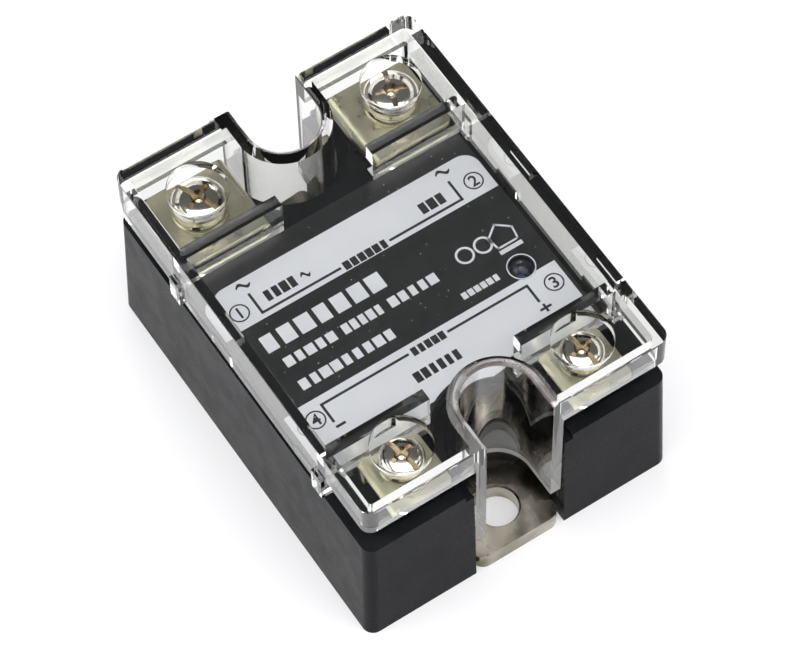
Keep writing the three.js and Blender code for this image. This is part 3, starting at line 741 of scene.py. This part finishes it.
def make_screw(station):
    size = FASTENERS[station["role"]]
    seat = TERMINAL_TOP + size["flat"] + size["spring"]
    top = seat + size["height"]
    edge = size["height"] * 0.35
    arch = size["height"] - edge
    dome = [(size["head"] * math.cos(t) ** DOME_POWER,
             seat + edge + arch * math.sin(t) ** DOME_POWER)
            for t in (math.radians(a) for a in range(0, 90, 6))]
    profile = [(0, top)] + list(reversed(dome)) + [
        (size["head"], seat + 0.15), (size["head"] - 0.15, seat), (size["shank"], seat),
        (size["shank"], seat - 0.6),
    ]
    turns = int((size["length"] - 1.6) / size["pitch"])
    z = seat - 0.6
    for _ in range(turns):
        profile.append((size["shank"], z - 0.04))
        profile.append((size["shank"] * 0.86, z - size["pitch"] * 0.5))
        z -= size["pitch"]
        profile.append((size["shank"], z + 0.04))
    tip = seat - size["length"]
    profile += [(size["shank"] * 0.7, tip), (0, tip)]
    body = turned("screw", profile, station["x"], station["y"])
    carve(body, *recess_tools(station["x"], station["y"], size, top))
    tidy(body)
    axis = at(station["x"], station["y"])
    turn = Matrix.Rotation(math.radians(station["turn"]), 4, "Z")
    body.data.transform(axis @ turn @ axis.inverted())
    smooth(body, 38)
    name = f"terminal_screw_{station['number']}"
    finish(body, f"{name}_pan_head", SCREW, f"screw_{station['number']}", "plated", name)
    # faces inside the driver recess take the painted shade
    body.data.materials.append(RECESS_SHADE)
    for face in body.data.polygons:
        point = face.center / MM
        share = math.hypot(point.x - station["x"], point.y - station["y"]) / size["head"]
        bulge = min(1.0, share) ** (2 / DOME_POWER)
        dome_z = seat + edge + arch * (1 - bulge) ** (DOME_POWER / 2)
        if share < 0.9 and seat + 0.3 < point.z < dome_z - 0.15:
            face.material_index = 1


def make_flat_washer(station):
    size = FASTENERS[station["role"]]
    low, high = TERMINAL_TOP, TERMINAL_TOP + size["flat"]
    outer, inner = size["flat_r"], size["shank"] + SHANK_ROOM
    body = turned("washer", [
        (inner, high - 0.05), (inner + 0.05, high), (outer - 0.14, high), (outer, high - 0.14),
        (outer, low + 0.08), (outer - 0.08, low), (inner + 0.05, low), (inner, low + 0.05),
        (inner, high - 0.05),
    ], station["x"], station["y"])
    close_seam(body)
    smooth(body, 25)
    name = f"flat_washer_{station['number']}"
    return finish(body, f"{name}_stamped", TERMINAL, f"clamp_{station['number']}", "plated", name)


def new_tree(name, numbers, counts=()):
    """A Geometry Nodes tree with these inputs and a Finish, its add and join calls, its inputs."""
    tree = bpy.data.node_groups.new(name, "GeometryNodeTree")
    kinds = [(socket, "Float") for socket in numbers] + [(socket, "Int") for socket in counts]
    for socket, kind in kinds + [("Finish", "Material")]:
        tree.interface.new_socket(socket, in_out="INPUT", socket_type=f"NodeSocket{kind}")
    tree.interface.new_socket("Geometry", in_out="OUTPUT", socket_type="NodeSocketGeometry")
    return tree, tree.nodes.new, tree.links.new, tree.nodes.new("NodeGroupInput").outputs


def send_out(tree, geometry, finish_input):
    """Makes the tree's geometry real, paints it and gives it out."""
    add, join = tree.nodes.new, tree.links.new
    real = add("GeometryNodeRealizeInstances")
    paint = add("GeometryNodeSetMaterial")
    join(geometry, real.inputs["Geometry"])
    join(real.outputs["Geometry"], paint.inputs["Geometry"])
    join(finish_input, paint.inputs["Material"])
    join(paint.outputs["Geometry"], add("NodeGroupOutput").inputs["Geometry"])
    return tree


def spring_washer_tree():
    """One nearly closed coil of Turns turns, of a wire Wire wide and Height high."""
    tree, add, join, given = new_tree(
        "split_spring_washer", ("Radius", "Wire", "Height", "Rise", "Turns"),
    )
    coil = add("GeometryNodeCurveSpiral")
    coil.inputs["Resolution"].default_value = 72
    join(given["Turns"], coil.inputs["Rotations"])
    join(given["Radius"], coil.inputs["Start Radius"])
    join(given["Radius"], coil.inputs["End Radius"])
    join(given["Rise"], coil.inputs["Height"])
    section = add("GeometryNodeCurvePrimitiveQuadrilateral")
    join(given["Wire"], section.inputs["Width"])
    join(given["Height"], section.inputs["Height"])
    soft = add("GeometryNodeFilletCurve")
    soft.mode = "POLY"
    soft.inputs["Count"].default_value = 2
    soft.inputs["Radius"].default_value = 0.00012
    join(section.outputs["Curve"], soft.inputs["Curve"])
    tilt = add("GeometryNodeSetCurveNormal")
    tilt.mode = "Z_UP"
    join(coil.outputs["Curve"], tilt.inputs["Curve"])
    sweep = add("GeometryNodeCurveToMesh")
    sweep.inputs["Fill Caps"].default_value = True
    join(tilt.outputs["Curve"], sweep.inputs["Curve"])
    join(soft.outputs["Curve"], sweep.inputs["Profile Curve"])
    return send_out(tree, sweep.outputs["Mesh"], given["Finish"])


def grow(name, tree, **values):
    """Runs a Geometry Nodes tree with these inputs and keeps its plain mesh."""
    piece = link(name, bpy.data.meshes.new(name))
    modifier = piece.modifiers.new("grow", "NODES")
    modifier.node_group = tree
    for item in tree.interface.items_tree:
        if item.in_out == "INPUT" and item.name in values:
            modifier[item.identifier] = values[item.name]
    return settle(piece)


def make_spring_washer(station, tree):
    size = FASTENERS[station["role"]]
    inner, outer = size["shank"] + 0.2, size["spring_r"]
    low = TERMINAL_TOP + size["flat"]
    rise = 0.12
    height = size["spring"] - rise
    gap_at = math.radians(station["turn"] + 200)
    body = grow("spring", tree, Radius=(inner + outer) / 2 * MM, Wire=(outer - inner) * MM,
                Height=height * MM, Rise=rise * MM, Turns=0.955, Finish=STEEL)
    place = at(station["x"], station["y"], low + height / 2)
    body.data.transform(place @ Matrix.Rotation(gap_at, 4, "Z"))
    close_seam(body)
    smooth(body, 40)
    name = f"spring_washer_{station['number']}"
    return finish(body, f"{name}_split", STEEL, f"clamp_{station['number']}", "steel", name)


# ------------------------------------------------------------------ label


def make_label():
    film = slab("film", rounded(-19.6, 19.6, -19.4, 14.2, (0.4,) * 4), DECK, LABEL_TOP)
    cuts = [slot_block(8.3, -1, CLEAR_OF, DECK - 1, OVER), post(*LAMP, 1.62, DECK - 1, OVER)]
    for station in STATIONS:
        if station["role"] == "input":
            x0, x1, y0, y1 = station["box"]
            cuts.append(block(x0 - 0.5, x1 + 0.5, y0 - 1, y1 + 0.5, DECK - 1, OVER))
    carve(film, *cuts)
    soften(film, 0.04, 1)
    return finish(film, "label_film", FILM, "relay", "label", "label")


# the lowest and highest level of the ink
PRINT = (LABEL_TOP, LABEL_TOP + 0.02)
OVERPRINT = (LABEL_TOP + 0.02, LABEL_TOP + 0.035)


def make_white_areas():
    rear = slab("rear", rounded(-19.5, 19.5, 4.8, 11.2, (0, 0, 2.2, 2.2), 10), *PRINT)
    front = slab("front", rounded(-19.4, 19.1, -16.5, -8.1, (0.6, 0.9, 0, 0)), *PRINT)
    carve(front, slot_block(8.6, -1, CLEAR_OF, 20, 24))
    carve(front, post(*LAMP, 1.9, 20, 24))
    weld(rear, front)
    return tidy(rear)


def path_bar(points, width, layer):
    """A line of ink of one width through these points, with square joints."""
    bars = []
    half = width / 2
    for (xa, ya), (xb, yb) in zip(points, points[1:]):
        length = math.dist((xa, ya), (xb, yb))
        ux, uy = (xb - xa) / length, (yb - ya) / length
        ax, ay = xa - ux * half, ya - uy * half
        bx, by = xb + ux * half, yb + uy * half
        outline = [(ax + uy * half, ay - ux * half), (bx + uy * half, by - ux * half),
                   (bx - uy * half, by + ux * half), (ax - uy * half, ay + ux * half)]
        bars.append(slab("stroke", outline, *layer))
    return bars


def print_blocks_tree():
    """A row of Count upright ink blocks, Step apart, that stands where a word would."""
    tree, add, join, given = new_tree(
        "print_blocks", ("Step", "Width", "Height", "Depth"), ("Count", "Seed"),
    )
    offset = add("ShaderNodeCombineXYZ")
    join(given["Step"], offset.inputs["X"])
    row = add("GeometryNodeMeshLine")
    row.mode = "OFFSET"
    join(given["Count"], row.inputs["Count"])
    join(offset.outputs["Vector"], row.inputs["Offset"])
    size = add("ShaderNodeCombineXYZ")
    join(given["Width"], size.inputs["X"])
    join(given["Height"], size.inputs["Y"])
    join(given["Depth"], size.inputs["Z"])
    stone = add("GeometryNodeMeshCube")
    join(size.outputs["Vector"], stone.inputs["Size"])
    chance = add("FunctionNodeRandomValue")
    chance.data_type = "FLOAT"
    chance.inputs["Min"].default_value = 0.72
    chance.inputs["Max"].default_value = 1.12
    join(given["Seed"], chance.inputs["Seed"])
    stretch = add("ShaderNodeCombineXYZ")
    stretch.inputs["Y"].default_value = 1
    stretch.inputs["Z"].default_value = 1
    join(chance.outputs["Value"], stretch.inputs["X"])
    place = add("GeometryNodeInstanceOnPoints")
    join(row.outputs["Mesh"], place.inputs["Points"])
    join(stone.outputs["Mesh"], place.inputs["Instance"])
    join(stretch.outputs["Vector"], place.inputs["Scale"])
    return send_out(tree, place.outputs["Instances"], given["Finish"])


def word_blocks(tree, x0, x1, y, height, count, seed, layer, material):
    """Blocks from x0 to x1, centred on y, as high as the print they stand for."""
    step = (x1 - x0) / count
    piece = grow("blocks", tree, Count=count, Step=step * MM, Width=step * 0.8 * MM,
                 Height=height * MM, Depth=(layer[1] - layer[0]) * MM, Seed=seed, Finish=material)
    piece.data.transform(at(x0 + step / 2, y, sum(layer) / 2))
    return piece


def glyph(text, x, y, height, layer):
    """A plain digit or sign, centred on a point."""
    curve = bpy.data.curves.new("glyph", "FONT")
    curve.body = text
    curve.size = height * MM * 1.4
    curve.align_x = "CENTER"
    curve.align_y = "CENTER"
    curve.extrude = (layer[1] - layer[0]) / 2 * MM
    curve.offset = 0.045 * MM
    sign = link("glyph", curve)
    graph = bpy.context.evaluated_depsgraph_get()
    mesh = bpy.data.meshes.new_from_object(sign.evaluated_get(graph))
    bpy.data.objects.remove(sign)
    low = Vector(min(v.co[i] for v in mesh.vertices) for i in range(3))
    high = Vector(max(v.co[i] for v in mesh.vertices) for i in range(3))
    scale = height * MM / (high.y - low.y)
    mesh.transform(Matrix.Translation((low + high) / -2))
    mesh.transform(Matrix.Diagonal((scale, scale, 1, 1)))
    mesh.transform(at(x, y, sum(layer) / 2))
    return link("glyph", mesh)


def ring(x, y, outer, inner, layer):
    outline = [(outer, layer[1]), (outer, layer[0]), (inner, layer[0]), (inner, layer[1]),
               (outer, layer[1])]
    return turned("ring", outline, x, y, 48)


def tilde(x, y, width, layer):
    """One wave of ink, thickest in the middle."""
    steps = 16
    upper, lower = [], []
    for i in range(steps + 1):
        t = i / steps
        px = x + (t - 0.5) * width
        py = y + 0.34 * math.sin((t - 0.02) * 2 * math.pi)
        half = 0.26 * (0.55 + 0.45 * math.sin(math.pi * t))
        upper.append((px, py + half))
        lower.append((px, py - half))
    return slab("tilde", lower + list(reversed(upper)), *layer)


def joined(name, parts):
    """Several closed bodies as one mesh."""
    shape = bmesh.new()
    for part in parts:
        shape.from_mesh(part.data)
        bpy.data.objects.remove(part)
    bmesh.ops.remove_doubles(shape, verts=shape.verts, dist=1e-8)
    mesh = bpy.data.meshes.new(name)
    shape.to_mesh(mesh)
    shape.free()
    return link(name, mesh)


BLACK_LINES = (     # points, then the width of the stroke
    (((-14.9, 8.7), (-14.9, 5.6), (-3.6, 5.6)), 0.35),
    (((3.9, 5.6), (14.6, 5.6), (14.6, 8.6)), 0.35),
    (((-15.9, -12.0), (-15.9, -9.3), (-3.4, -9.3)), 0.35),
    (((2.6, -9.3), (14.2, -9.3), (14.2, -11.9)), 0.35),
    (((14.4, -13.6), (14.4, -12.7)), 0.34),
    (((13.75, -13.15), (15.05, -13.15)), 0.34),
    (((-15.9, -12.9), (-14.9, -12.9)), 0.36),
)
BLACK_WORDS = (     # from x, to x, y, height, number of blocks, seed
    (-3.1, 3.4, 5.55, 1.25, 6, 3),
    (-13.6, -8.9, 7.3, 1.6, 4, 8),
    (9.2, 13.0, 7.2, 1.6, 3, 5),
    (-2.9, 2.1, -9.35, 1.2, 5, 11),
    (-4.6, 2.2, -12.6, 1.5, 6, 21),
)
TILDES = ((-7.6, 7.3, 1.3), (-14.9, 10.2, 2.0), (14.7, 10.3, 2.0))     # x, y, width
NUMBERS = ((-17.3, 7.1), (17.3, 7.1), (17.3, -10.7), (-17.6, -10.7))
WHITE_WORDS = (
    (-17.8, 0.2, 1.5, 2.5, 7, 2),
    (-16.6, -9.0, -2.0, 1.45, 5, 4),
    (-8.2, -2.2, -2.0, 1.45, 5, 6),
    (-1.4, 5.8, -2.0, 1.45, 5, 7),
    (-16.8, -2.9, -5.7, 1.5, 9, 9),
    (6.6, 12.2, -6.2, 0.95, 6, 10),
)
HOUSE = ((15.8, 0.3), (17.5, -1.1), (17.2, -2.9), (14.3, -2.9), (14.0, -1.1), (15.8, 0.3))


def make_print():
    blocks = print_blocks_tree()
    black = [word_blocks(blocks, *word, OVERPRINT, INK) for word in BLACK_WORDS]
    black += [tilde(*wave, OVERPRINT) for wave in TILDES]
    for points, width in BLACK_LINES:
        black += path_bar(points, width, OVERPRINT)
    for number, (x, y) in enumerate(NUMBERS, 1):
        black.append(ring(x, y, 1.3, 1.1, OVERPRINT))
        black.append(glyph(str(number), x, y, 1.65, OVERPRINT))
    finish(joined("print", black), "label_black_print", INK, "relay", "label")

    white = [make_white_areas()]
    white += [word_blocks(blocks, *word, PRINT, WHITE) for word in WHITE_WORDS]
    white += [ring(x, -1.4, 1.25, 0.95, PRINT) for x in (10.3, 13.0)]
    white += path_bar(HOUSE, 0.26, PRINT)
    white.append(block(14.1, 17.4, -3.9, -3.3, *PRINT))
    white.append(ring(*LAMP, 1.86, 1.72, PRINT))
    finish(joined("areas", white), "label_white_print", WHITE, "relay", "label")


# ------------------------------------------------------------------ lamp and dust


def make_lamp():
    collar = 18.1
    base = DECK - 0.9
    sides = [math.radians(a) for a in range(9, 91, 9)]
    profile = [(0, base + LAMP_RADIUS)]
    profile += [(LAMP_RADIUS * math.sin(a), base + LAMP_RADIUS * math.cos(a)) for a in sides]
    profile += [(LAMP_RADIUS, collar + 0.9), (LAMP_RADIUS + 0.28, collar + 0.9),
                (LAMP_RADIUS + 0.28, collar), (0, collar)]
    dome = turned("lamp", profile, *LAMP, 48)
    smooth(dome, 50)
    finish(dome, "lamp_dome", LENS, "relay", "lamp", "status_lamp")
    # the cup carries the painted shade and reflection inside the lamp
    cup = turned("cup", [
        (0, collar + 1.6), (0.5, collar + 1.6), (0.95, collar + 2.6), (1.05, collar + 2.6),
        (0.75, collar + 1.3), (0, collar + 1.3),
    ], *LAMP, 32)
    smooth(cup, 40)
    finish(cup, "lamp_cup", CUP_SHADE_AND_REFLECTION, "relay", "lamp")
    x, y = LAMP
    leads = [block(x + s * 1.27 - 0.25, x + s * 1.27 + 0.25, y - 0.25, y + 0.25, 11.6, 18.05)
             for s in SIDES]
    wires = joined("leads", leads)
    soften(wires, 0.06, 1)
    finish(wires, "lamp_leads", STEEL, "relay", "lamp")


def dust_tree():
    """Specks of about Size, scattered over a patch at Density a square metre."""
    tree, add, join, given = new_tree(
        "dust_specks", ("Width", "Length", "Density", "Size"), ("Seed",),
    )
    patch = add("GeometryNodeMeshGrid")
    patch.inputs["Vertices X"].default_value = 2
    patch.inputs["Vertices Y"].default_value = 2
    join(given["Width"], patch.inputs["Size X"])
    join(given["Length"], patch.inputs["Size Y"])
    scatter = add("GeometryNodeDistributePointsOnFaces")
    join(patch.outputs["Mesh"], scatter.inputs["Mesh"])
    join(given["Density"], scatter.inputs["Density"])
    join(given["Seed"], scatter.inputs["Seed"])
    speck = add("GeometryNodeMeshIcoSphere")
    speck.inputs["Subdivisions"].default_value = 1
    join(given["Size"], speck.inputs["Radius"])
    chance = add("FunctionNodeRandomValue")
    chance.data_type = "FLOAT"
    chance.inputs["Min"].default_value = 0.4
    chance.inputs["Max"].default_value = 1.3
    place = add("GeometryNodeInstanceOnPoints")
    join(scatter.outputs["Points"], place.inputs["Points"])
    join(speck.outputs["Mesh"], place.inputs["Instance"])
    join(chance.outputs["Value"], place.inputs["Scale"])
    return send_out(tree, place.outputs["Instances"], given["Finish"])


def make_dust():
    specks = grow("dust", dust_tree(), Width=38 * MM, Length=26 * MM, Density=110000.0,
                  Size=0.06 * MM, Seed=4, Finish=DUST)
    specks.data.transform(at(0, 1.5, LABEL_TOP + 0.05))
    finish(specks, "label_dust", DUST, "relay", "label")


# ------------------------------------------------------------------ parts hidden in the case


def dress_hidden_parts():
    """Gives each CAD node that still shows its own finish, and steel to those not listed."""
    black = speckled("package_black", (0.015, 0.015, 0.016), (0.025, 0.025, 0.026), 0.55)
    silicon = speckled("silicon", (0.08, 0.085, 0.1), (0.12, 0.13, 0.15), 0.3)
    lacquer = speckled("lacquer_blue", (0.25, 0.42, 0.52), (0.32, 0.5, 0.6), 0.4)
    finishes = {
        "ceramic_substrate": speckled("ceramic", (0.75, 0.74, 0.7), (0.82, 0.81, 0.78), 0.6),
        "potting": speckled("potting_black", (0.012, 0.012, 0.013), (0.02, 0.02, 0.022), 0.7, 300),
        "driver_board": speckled("solder_mask", (0.02, 0.14, 0.04), (0.03, 0.18, 0.06), 0.4, 500),
        "snubber_capacitor": speckled("amber_box", (0.5, 0.33, 0.05), (0.58, 0.4, 0.08), 0.35),
        "optocoupler": black, "driver_transistor": black, "protection_diode": black,
        "thyristor_chip_1": silicon, "thyristor_chip_2": silicon,
        "input_resistor": lacquer, "gate_resistor": lacquer, "snubber_resistor": lacquer,
    }
    for node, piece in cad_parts.items():
        if piece.hide_render:
            continue
        piece.data.materials.clear()
        piece.data.materials.append(finishes.get(node, STEEL))


# ------------------------------------------------------------------ building it

make_case()
make_base_plate()
make_cover()
make_label()
make_print()
make_lamp()
make_dust()
spring_tree = spring_washer_tree()
for terminal_station in STATIONS:
    make_terminal(terminal_station)
    make_screw(terminal_station)
    make_flat_washer(terminal_station)
    make_spring_washer(terminal_station, spring_tree)
dress_hidden_parts()

# ------------------------------------------------------------------ floor, light and camera


LIGHTS = (      # azimuth and elevation in degrees, distance and size in metres, power in watts
    ("top_panel", -32, 80, 1.0, 0.8, 8.6),
    ("left_panel", -110, 35, 0.8, 0.7, 3.9),
    ("right_panel", 38, 48, 0.8, 0.6, 2.6),
    ("back_panel", 160, 22, 0.8, 0.5, 2.6),
)
WORLD_STRENGTH = 0.15
CAMERA_AZIMUTH = -31.945
CAMERA_ELEVATION = 59.756
CAMERA_ROLL = math.radians(1.612)
CAMERA_DISTANCE = 0.47643
CAMERA_LENS = 170.7
AIM = (0.0, 0.0, 0.012)
AIM_OFFSET = (0.001194, 0.000319)   # how far right and up of AIM the frame's centre lies


def make_floor():
    half = 1500
    floor = block(-half, half, -half, half, -6, -0.05)
    surface = Finish("pale_floor", (0.55, 0.55, 0.56), 0.9)
    surface.set("Emission Color", (1, 1, 1, 1)).set("Emission Strength", 0.35)
    surface.vary_color(surface.grain(4, 2), (0.54, 0.54, 0.55), (0.56, 0.56, 0.57))
    floor.data.materials.append(surface.material)
    floor.name = "floor"


def outward(azimuth, elevation):
    """The direction from the relay towards this azimuth and elevation, in degrees."""
    across, up = math.radians(azimuth), math.radians(elevation)
    return Vector((math.sin(across) * math.cos(up), -math.cos(across) * math.cos(up), math.sin(up)))


def soft_light(name, azimuth, elevation, distance, size, power):
    """A square panel that faces the relay."""
    back = outward(azimuth, elevation)
    data = bpy.data.lights.new(name, "AREA")
    data.shape = "SQUARE"
    data.size = size
    data.energy = power
    lamp = link(name, data)
    lamp.location = back * distance
    lamp.rotation_mode = "QUATERNION"
    lamp.rotation_quaternion = back.to_track_quat("Z", "Y")


def make_surroundings():
    world = bpy.data.worlds.new("studio")
    bpy.context.scene.world = world
    world.use_nodes = True
    back = world.node_tree.nodes["Background"]
    back.inputs["Color"].default_value = (0.97, 0.98, 1.0, 1)
    back.inputs["Strength"].default_value = WORLD_STRENGTH


def make_camera():
    back = outward(CAMERA_AZIMUTH, CAMERA_ELEVATION)
    level = (-back).cross(Vector((0, 0, 1))).normalized()
    upright = back.cross(level)
    right = level * math.cos(CAMERA_ROLL) - upright * math.sin(CAMERA_ROLL)
    up = level * math.sin(CAMERA_ROLL) + upright * math.cos(CAMERA_ROLL)
    centre = Vector(AIM) + right * AIM_OFFSET[0] + up * AIM_OFFSET[1]
    data = bpy.data.cameras.new("camera")
    data.lens = CAMERA_LENS
    data.sensor_width = 36
    data.clip_start = 0.01
    data.clip_end = 50
    camera = link("camera", data)
    camera.matrix_world = Matrix.Translation(centre + back * CAMERA_DISTANCE) @ Matrix((
        (right.x, up.x, back.x, 0), (right.y, up.y, back.y, 0), (right.z, up.z, back.z, 0),
        (0, 0, 0, 1),
    ))
    bpy.context.scene.camera = camera


make_floor()
make_surroundings()
for light in LIGHTS:
    soft_light(*light)
make_camera()
bpy.context.scene.view_settings.view_transform = "Standard"
